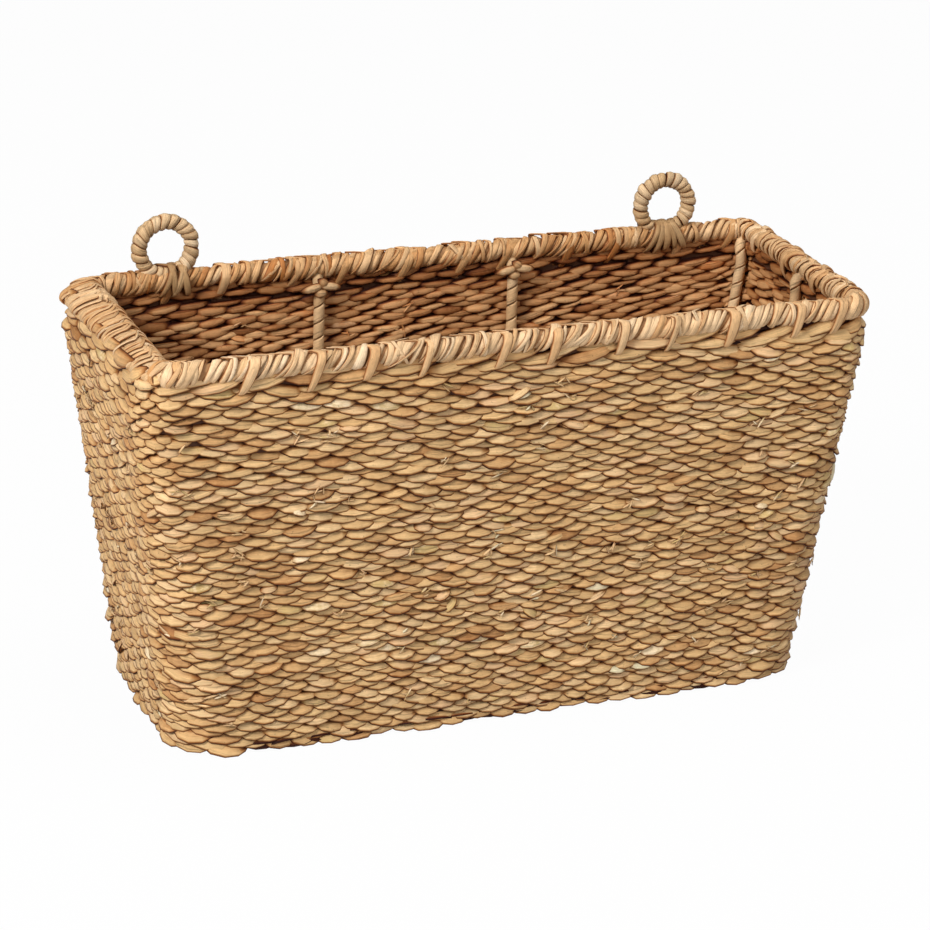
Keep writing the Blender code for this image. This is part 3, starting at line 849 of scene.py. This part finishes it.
def looped(line, height):
    """The path round an outline at that height, which points up and outwards, and its length."""
    reach = girths(line)

    def place(length):
        return [np.interp(length % reach[-1], reach, line[:, axis]) for axis in (0, 1)]

    def path(length):
        x, y = place(length)
        ahead_x, ahead_y = place(length + 0.0015)
        behind_x, behind_y = place(length - 0.0015)
        outward = np.stack([ahead_y - behind_y, behind_x - ahead_x, np.zeros_like(x)], -1)
        outward /= np.linalg.norm(outward, axis=-1, keepdims=True)
        upward = np.broadcast_to((0.0, 0.0, 1.0), outward.shape)
        return np.stack([x, y, np.full_like(x, height)], -1), upward, outward

    return path, reach[-1]


def in_front_of(depth):
    """An upright face at that depth, to lay lobes on."""
    def face(x, height, along, up, out):
        return np.stack([x + along, depth - out, height + up], -1)

    return face


def sleeve(name, path, length, radius):
    """A rod's winding of one flat leaf, each turn a little paler or browner than the last."""
    turns = round(length / STRUT_PITCH)
    piece, turned, across, face = winding(
        name, turns, length / turns, radius - SLEEVE_THICKNESS / 2, length / turns * 0.99, SLEEVE_THICKNESS,
        steps=12, left_handed=False, squareness=0.4,
    )
    points = corners_of(piece.data)
    if length < LONGEST_STRAIGHT:
        points[:, 2] = np.clip(points[:, 2], 0.0, length)
    tint = for_turns(turned, chance.uniform(0.3, 0.8, turns + 1))
    seed = for_turns(turned, chance.random(turns + 1))
    bend(piece, path, points, tint=tint, seed=seed, shade=np.zeros(len(points)))
    return piece


sleeve_leaf = leaf_finish("sleeve_leaf", SLEEVE_TINTS, streak=0.5, edges=(0.03, 0.30, 0.03, 0.30))
rods = sorted(name.removesuffix("_rod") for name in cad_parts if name.endswith("_rod"))
for rod in rods:
    if rod.startswith(("strut", "cross")):
        rod_path, rod_length = along_rod(rod + "_rod")
        radius = STRUT_RADIUS if rod.startswith("strut") else FLOOR_ROD_RADIUS
        piece = sleeve(rod + "_leaf", rod_path, rod_length, radius)
        dress(piece, sleeve_leaf, "leaf_winding", rod + "_wrap")

base_low, base_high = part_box("base_rod")
base_line = outline(
    base_low.x + BASE_ROD, base_high.x - BASE_ROD, base_low.y + BASE_ROD, base_high.y - BASE_ROD,
    FOOT_CORNER - BASE_CORNER_INSET,
)
base_path, base_girth = looped(base_line, (base_low.z + base_high.z) / 2)
piece = sleeve("base_leaf", base_path, base_girth, FLOOR_ROD_RADIUS)
dress(piece, sleeve_leaf, "leaf_floor_winding", "base_rod_wrap")

for side in ("left", "right"):
    rod_low, rod_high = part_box(f"strut_back_{side}_rod")
    sizes = lobe_sizes(len(KNOT_LENGTHS))
    sizes[:, LENGTH] = KNOT_LENGTHS
    sizes[:, WIDTH] = KNOT_WIDTH
    sizes[:, DEPTH] = KNOT_DEPTH
    sizes[:, TILT] = KNOT_TILTS
    sizes[:, DIVE] = KNOT_DIVE
    sizes[:, OUT:] = 0.0
    knot_face = in_front_of(rod_low.y - KNOT_IN_FRONT)
    knot_x = (rod_low.x + rod_high.x) / 2 + np.array(KNOT_ACROSS)
    knot_z = rod_high.z - KNOT_BELOW_TOP + np.array(KNOT_UP)
    piece = lay_lobes(f"strut_knot_{side}", knot_face, knot_x, knot_z, 1, sizes, np.array(KNOT_TINTS))
    dress(piece, sleeve_leaf, "leaf_winding", f"strut_back_{side}_wrap")


# Rim border: two strands wound close round the rim rod and the stakes' ends, over a core of brown leaf.
# The palest leaf, each turn creased and a little off the last.
# At the drawn-in left end the turns lie wider apart and fan outward over the weave.
BORDER_PITCH = 0.0106
BORDER_RADIUS = 0.0050
BORDER_WIDTH = 0.0062
BORDER_THICKNESS = 0.0036
BORDER_START = 2.4
BORDER_CORE = 0.0050
FAN_POWER = 0.7
FAN_DROP = 0.22
RIM_TINTS = (
    (0.00, (176, 112, 58)),
    (0.22, (200, 150, 98)),
    (0.50, (214, 174, 128)),
    (0.80, (228, 196, 156)),
    (1.00, (236, 210, 176)),
)
# The core is leaf, coloured browner than the turns as painted shade where it shows between them.
UNDER_BROWN = (124, 80, 40)
UNDER_SHADE = (172, 126, 78)

# Values round the rim: back left corner, left end, front left corner, front, right end, back right, back.
RIM_FAN = (1.40, 1.0, 0.72, 0.0, 0.0, 0.10, 0.0)
RIM_SPACING = (1.14, 1.3, 1.12, 0.98, 0.86, 0.98, 1.0)
RIM_LEAN = (0.5, 0.6, 0.5, 0.42, 0.85, 0.7, 0.42)
RIM_FACING = (0.0, 0.6, 0.7, 0.8, 0.0, -0.2, -0.8)
# Paleness is kept lower round the left end and its corners than at the front, as painted shade against the
# key lamp, which lights that end most.
RIM_PALENESS = (0.48, 0.5, 0.52, 0.62, 0.5, 0.45, 0.28)

rim_line = outline(*rim_sides, RIM_CORNER)
rim_path, rim_girth = looped(rim_line, rim_height)
rim_marks = girths(rim_line)


def round_rim(length, back_left, left, front_left, front, right, back_right, back):
    """A value eased along the rim, from one stretch or corner to the next."""
    places = (
        0, rim_marks[1] - 0.03, rim_marks[6], (rim_marks[11] + rim_marks[12]) / 2, rim_marks[17],
        rim_marks[22] + 0.03, rim_marks[24] - 0.12, (rim_marks[33] + rim_marks[34]) / 2, rim_marks[39],
        rim_marks[44] + 0.1,
    )
    values = (back, back, back_left, left, front_left, front, front, right, back_right, back)
    return np.interp(length % rim_girth, places, values)


def outward(points, along):
    """The border's outer side, drawn further out and down where it fans over the weave."""
    leftward = np.clip(-rim_path(along)[2][:, 0], 0, 1) ** FAN_POWER
    spread = np.clip(points[:, 1], 0, None) * round_rim(along, *RIM_FAN) * leftward
    points[:, 1] += spread
    points[:, 0] -= spread * FAN_DROP
    return points


rim_steps = np.linspace(0, rim_girth, 800)
spacing = round_rim(rim_steps, *RIM_SPACING)
wound = np.concatenate([[0], np.cumsum(np.diff(rim_steps) * 2 / (spacing[1:] + spacing[:-1]))])
border_turns = round(wound[-1] / BORDER_PITCH)
wound *= border_turns * BORDER_PITCH / wound[-1]


def border_path(length):
    """The rim's path for the border, whose turns lie wider apart at the left end."""
    return rim_path(np.interp(length % wound[-1], wound, rim_steps))


rim_leaf = leaf_finish("rim_leaf", RIM_TINTS, streak=0.9, edges=(0.17, 0.65, 0.17, 0.65))
rim_under, shader, start = new_finish("rim_under_leaf")
mottle = noise(start.node("TexCoord", output="Object"), 420.0, 4.0)
under_colour = mottle.blend(linear(UNDER_BROWN), linear(UNDER_SHADE))
connect(shader, Base_Color=under_colour, Roughness=mottle * 0.2 + 0.6)

shape = bmesh.new()
bmesh.ops.create_cone(shape, cap_ends=False, segments=14, radius1=BORDER_CORE, radius2=BORDER_CORE, depth=1.0)
upright = [edge for edge in shape.edges if abs(edge.verts[0].co.z - edge.verts[1].co.z) > 0.5]
bmesh.ops.subdivide_edges(shape, edges=upright, cuts=260, use_grid_fill=True)
for face in shape.faces:
    face.smooth = True
piece = new_piece(finished(shape, "rim_core"))
points = corners_of(piece.data)
points[:, 2] = (points[:, 2] + 0.5) * rim_girth
bend(piece, rim_path, outward(points, points[:, 2]))
dress(piece, rim_under, "leaf_winding", "rim_border_main", "rim_border_back")

for strand in range(2):
    piece, turned, across, face = winding(
        f"rim_border_{strand + 1}", border_turns, BORDER_PITCH, BORDER_RADIUS, BORDER_WIDTH, BORDER_THICKNESS,
    )
    start_turn = Matrix.Rotation(strand * math.pi + BORDER_START, 3, "Z")
    points = corners_of(piece.data) @ np.array(start_turn).T
    radius = np.hypot(points[:, 0], points[:, 1])
    along = np.interp(points[:, 2] % wound[-1], wound, rim_steps)
    wanted = radius + uneven(turned, 0.0006) + across * uneven(turned, 0.0009)
    points[:, :2] *= (np.maximum(wanted, RIM_ROD + 0.0004) / radius)[:, None]
    points[:, 2] += uneven(turned, 0.0011) + across * uneven(turned * 2, 0.0010)
    lean = round_rim(along, *RIM_LEAN) * BORDER_RADIUS
    points[:, 2] -= lean * np.sin(np.arctan2(points[:, 1], points[:, 0]) - round_rim(along, *RIM_FACING))
    tint = round_rim(along, *RIM_PALENESS) + for_turns(turned, chance.normal(0, 0.11, border_turns + 1))
    seed = for_turns(turned, chance.random(border_turns + 1))
    shade = np.where(face > 0, 0.0, 0.25)
    bend(piece, border_path, outward(points, along), tint=np.clip(tint, 0, 1), seed=seed, shade=shade)
    dress(piece, rim_leaf, "leaf_winding", "rim_border_main", "rim_border_back")


# Crossing strands and bindings: flat strands laid over the border by hand, each drawn as a closed turn.
# The crossing ones lie aslant on the border's turns, closest together at the left end.
# Every 35 mm or so a binding comes down over the first row and ties it to the rim, but not at the left end.
CROSSINGS = 150
LEFT_CROSSINGS = 46
# Crossing strands, too, are kept less pale round the left end, as painted shade against the key lamp.
CROSSING_PALENESS = (0.45, 0.42, 0.5, 0.6, 0.5, 0.45, 0.28)
BINDING_SPACING = 0.036
BINDING_WIDTH = 0.0064
BINDING_THICKNESS = 0.0018
BINDING_DROP = 0.0138
BINDING_PALENESS = (0.5, 0.6, 0.6, 0.45, 0.4, 0.4, 0.2)
BINDING_LEFT_OUT = (1.0, 1.0, 1.0, 0.0, 0.0, 0.0, 0.0)
STRAP_RADIUS = 10
STRAP_NARROWED = 0.35


def strap_ring():
    """One closed turn of a flat strand, 10 in radius about the upright axis, 2 wide and 2 thick."""
    shape = bmesh.new()
    leaf = shape.loops.layers.uv.new("leaf")
    bake = shape.loops.layers.uv.new("OFBake")
    for vertex in bmesh.ops.create_circle(shape, segments=8, radius=1.0)["verts"]:
        thick = math.copysign(abs(vertex.co.y) ** 0.7, vertex.co.y)
        vertex.co = (STRAP_RADIUS + thick, 0, vertex.co.x)
    bmesh.ops.spin(
        shape, geom=shape.verts[:] + shape.edges[:], cent=(0, 0, 0), axis=(0, 0, 1), angle=math.tau,
        steps=28, use_merge=True, use_normal_flip=False, use_duplicate=False,
    )
    bmesh.ops.recalc_face_normals(shape, faces=shape.faces)
    for face in shape.faces:
        face.smooth = True
        middle = face.calc_center_median()
        turn = math.atan2(middle.y, middle.x)
        shown = math.hypot(middle.x, middle.y) > STRAP_RADIUS
        for loop in face.loops:
            spot = math.atan2(loop.vert.co.y, loop.vert.co.x)
            spot = turn + (spot - turn + math.pi) % math.tau - math.pi
            share = (spot + math.pi) / math.tau
            wide = (loop.vert.co.z + 1) / 2
            loop[leaf].uv = (share * 3.0, wide)
            loop[bake].uv = (min(max(share, 0.0), 1.0), wide * 0.84 if shown else 0.9 + wide * 0.1)
    return finished(shape, "strap_ring")


strap = strap_ring()
strap_points = corners_of(strap)
strap_turn = np.arctan2(strap_points[:, 1], strap_points[:, 0])
strap_thick = np.hypot(strap_points[:, 0], strap_points[:, 1]) - STRAP_RADIUS
strap_wide = strap_points[:, 2]


def tie_straps(name, path, places, high, low, outer, inner, boxy, widths, thickness, slants, tints, fans=0.0):
    """Closed straps round a rim, each at its place along it.

    Each reaches high above, low below, outer outside and inner inside the rim's middle, and slants along it.
    Boxy bends its outer and inner side, squarer below 1. Fans draws its outer side out at the left end.
    """
    count = len(places)
    strap_sizes = [np.broadcast_to(values, count) for values in (high, low, outer, widths, slants, fans)]
    points = []
    rise, reach = np.cos(strap_turn), np.sin(strap_turn)
    for place, above, drop, out, width, slant, fan in zip(places, *strap_sizes):
        bulge = np.where(reach > 0, np.abs(reach) ** boxy[0] * out, -np.abs(reach) ** boxy[1] * inner)
        up = np.where(rise > 0, rise * above, rise * drop) + rise * strap_thick * thickness / 2
        across = bulge + reach * strap_thick * thickness / 2
        narrow = 1 - STRAP_NARROWED * np.clip(-rise, 0, 1) ** 2
        aslant = slant * up * np.sign(reach) * np.minimum(1, np.abs(reach) * 5)
        centre, first, second = path(place + strap_wide * width / 2 * narrow + aslant)
        spread = np.clip(across, 0, None) * fan * np.clip(-second[:, 0], 0, 1) ** FAN_POWER
        up, across = up - spread * FAN_DROP, across + spread
        points.append(centre + first * up[:, None] + second * across[:, None])
    piece = copies(strap, count, name)
    each = len(strap_points)
    seed = np.repeat(chance.random(count), each)
    shade = np.zeros(each * count)
    set_corners(piece, np.concatenate(points), tint=np.repeat(tints, each), shade=shade, seed=seed)
    return piece


places = chance.random(CROSSINGS) * rim_girth
places = np.concatenate([places, chance.uniform(rim_marks[2], rim_marks[22], LEFT_CROSSINGS)])
count = len(places)
piece = tie_straps(
    "rim_crossing_strands", rim_path, places,
    high=chance.normal(0.0068, 0.0004, count),
    low=chance.normal(0.0066, 0.0004, count),
    outer=chance.normal(0.0068, 0.0004, count),
    inner=0.0067,
    boxy=(1.0, 1.0),
    widths=chance.uniform(0.0022, 0.0044, count),
    thickness=0.0012,
    slants=chance.normal(0.45, 0.40, count),
    tints=np.clip(round_rim(places, *CROSSING_PALENESS) + chance.normal(0, 0.14, count), 0, 1),
    fans=round_rim(places, *RIM_FAN),
)
dress(piece, rim_leaf, "leaf_winding", "rim_border_main", "rim_border_back")

count = round(rim_girth / BINDING_SPACING)
places = (np.arange(count) + 0.5 + chance.normal(0, 0.13, count)) * rim_girth / count
tints = np.clip(round_rim(places, *BINDING_PALENESS) + chance.normal(0, 0.12, count), 0, 1)
bound = round_rim(places, *BINDING_LEFT_OUT) < 0.5
places, tints = places[bound], tints[bound]
count = len(places)
piece = tie_straps(
    "rim_bindings", rim_path, places,
    high=0.0062,
    low=chance.normal(BINDING_DROP, 0.0012, count),
    outer=0.0076,
    inner=0.0064,
    boxy=(0.5, 2.2),
    widths=chance.normal(BINDING_WIDTH, 0.0008, count),
    thickness=BINDING_THICKNESS,
    slants=chance.normal(0.36, 0.12, count),
    tints=tints,
)
dress(piece, rim_leaf, "leaf_winding", "rim_binding_main", "rim_binding_back")


# Hanging rings: a wire ring each, wound with leaf strands and welded on the back rim.
# The left one is wound aslant with thick strands, the right one straight with ribbed ones.
# Flat leaf bands lash them to the rim: four beside the left ring's foot, five round the right one's.
RING_RADIUS = 0.0163
RING_ROD = 0.00125
RINGS = {
    "left": {
        "turns": 21, "thickness": 0.0037, "squareness": 0.8, "lean": -0.60,
        "lashings": (0.0004, -0.0034, -0.0070, -0.0106), "slants": (0.42, -0.10, 0.34, -0.22),
    },
    "right": {
        "turns": 23, "thickness": 0.0035, "squareness": 1.0, "lean": -0.06,
        "lashings": (0.0095, 0.0050, 0.0005, -0.0040, -0.0085), "slants": (0.5, 0.25, 0.0, -0.25, -0.5),
    },
}
LASHING_WIDTH = 0.0049
LASHING_THICKNESS = 0.0026
RING_TINTS = (
    (0.00, (160, 122, 80)),
    (0.30, (196, 160, 116)),
    (0.60, (216, 184, 144)),
    (1.00, (232, 208, 174)),
)
ring_leaf = leaf_finish("ring_leaf", RING_TINTS, streak=0.95, edges=(0.18, 0.75, 0.18, 0.75))


def round_ring(centre, radius):
    """The path round an upright ring from its foot, which points outwards and to the front."""
    def path(length):
        turn = length / radius - math.pi / 2
        away = np.stack([np.cos(turn), np.zeros_like(turn), np.sin(turn)], -1)
        return np.array(centre) + away * radius, away, np.broadcast_to((0.0, -1.0, 0.0), away.shape)

    return path


for side, ring in RINGS.items():
    low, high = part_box(f"ring_{side}_rod")
    centre = (np.array(low) + np.array(high)) / 2
    turns = ring["turns"]
    pitch = math.tau * RING_RADIUS / turns
    piece, turned, across, face = winding(
        f"ring_{side}_leaf", turns, pitch, RING_ROD + ring["thickness"] / 2 + 0.0001, pitch * 1.2,
        ring["thickness"], squareness=ring["squareness"], left_handed=side == "left",
    )
    points = corners_of(piece.data)
    radius = np.hypot(points[:, 0], points[:, 1])
    wanted = np.maximum(radius + uneven(turned, 0.00035), RING_ROD + 0.0001)
    points[:, :2] *= (wanted / radius)[:, None]
    points[:, 2] += uneven(turned, 0.0004) + ring["lean"] * points[:, 0]
    tint = for_turns(turned, np.clip(chance.normal(0.48, 0.14, turns + 1), 0, 1))
    seed = for_turns(turned, chance.random(turns + 1))
    shade = np.where(face > 0, 0.0, 0.8)
    bend(piece, round_ring(centre, RING_RADIUS), points, tint=tint, seed=seed, shade=shade)
    dress(piece, ring_leaf, "leaf_winding", f"ring_{side}_wrap")
    places = (rim_line[0, 0] - centre[0]) % rim_girth + np.array(ring["lashings"])
    count = len(places)
    piece = tie_straps(
        f"ring_{side}_lashing", rim_path, places,
        high=0.0092,
        low=chance.normal(0.0086, 0.0006, count),
        outer=0.0078,
        inner=0.0080,
        boxy=(0.8, 0.8),
        widths=chance.normal(LASHING_WIDTH, 0.0004, count),
        thickness=LASHING_THICKNESS,
        slants=ring["slants"],
        tints=chance.uniform(0.0, 0.3, count),
    )
    dress(piece, ring_leaf, "leaf_winding", f"ring_{side}_lashing")


# Studio: a plain pale floor that the basket stands on, soft lamps, and the camera as in the photograph.
# The floor and the air look white to the camera alone, and light the basket at a plain level.
CAMERA_AROUND = math.radians(21.54)
CAMERA_UP = math.radians(21.24)
CAMERA_ROLL = math.radians(1.67)
CAMERA_DISTANCE = 2.037
CAMERA_TARGET = np.array((0.001, 0.0, 0.1337))
CAMERA_LENS = 130.9

studio, shader, start = new_finish("studio_white")
shader.inputs["Base Color"].default_value = (0.62, 0.62, 0.62, 1.0)
shader.inputs["Roughness"].default_value = 0.9
seen = start.node("LightPath", output="Is Camera Ray")
white = start.node("Emission", inputs={"Color": (1.0, 1.0, 1.0, 1.0), "Strength": 1.0})
lit = Mark(studio.node_tree, shader.outputs[0])
shown = start.node("MixShader", inputs={0: seen * 0.97, 1: lit, 2: white})
studio.node_tree.links.new(shown.socket, studio.node_tree.nodes["Material Output"].inputs[0])
shape = bmesh.new()
bmesh.ops.create_grid(shape, x_segments=1, y_segments=1, size=6.0)
studio_floor = new_piece(finished(shape, "studio_floor"))
studio_floor.data.materials.append(studio)

world = bpy.data.worlds.new("studio_air")
world.use_nodes = True
bpy.context.scene.world = world
air = Mark(world.node_tree)
background = world.node_tree.nodes["Background"]
camera_ray = air.node("LightPath", output="Is Camera Ray")
strength = camera_ray * 0.81 + 0.21
world.node_tree.links.new(strength.socket, background.inputs["Strength"])
background.inputs["Color"].default_value = (1.0, 1.0, 1.0, 1.0)


def lamp(name, place, size, power):
    """A soft square lamp that faces the basket."""
    light = bpy.data.lights.new(name, "AREA")
    light.size = size
    light.energy = power
    made = bpy.data.objects.new(name, light)
    made.location = place
    made.rotation_euler = Vector(CAMERA_TARGET - np.array(place)).to_track_quat("-Z", "Y").to_euler()
    bpy.context.scene.collection.objects.link(made)


lamp("key", (-2.05, -1.05, 1.8), 0.85, 72.0)
lamp("fill", (0.7, -2.4, 1.9), 1.1, 20.0)
lamp("top", (0.3, -0.2, 2.3), 1.0, 22.0)

right = np.array((math.cos(CAMERA_AROUND), -math.sin(CAMERA_AROUND), 0.0))
level = np.array((-math.sin(CAMERA_AROUND), -math.cos(CAMERA_AROUND), 0.0))
back = level * math.cos(CAMERA_UP) + np.array((0.0, 0.0, math.sin(CAMERA_UP)))
up = np.cross(back, right)
turned = np.eye(4)
turned[:3, 0] = math.cos(CAMERA_ROLL) * right + math.sin(CAMERA_ROLL) * up
turned[:3, 1] = math.cos(CAMERA_ROLL) * up - math.sin(CAMERA_ROLL) * right
turned[:3, 2] = back
turned[:3, 3] = CAMERA_TARGET + back * CAMERA_DISTANCE
camera = bpy.data.objects.new("camera", bpy.data.cameras.new("camera"))
camera.data.lens = CAMERA_LENS
camera.data.sensor_width = 36.0
camera.matrix_world = Matrix(turned)
bpy.context.scene.collection.objects.link(camera)
bpy.context.scene.camera = camera
bpy.context.scene.view_settings.view_transform = "Standard"
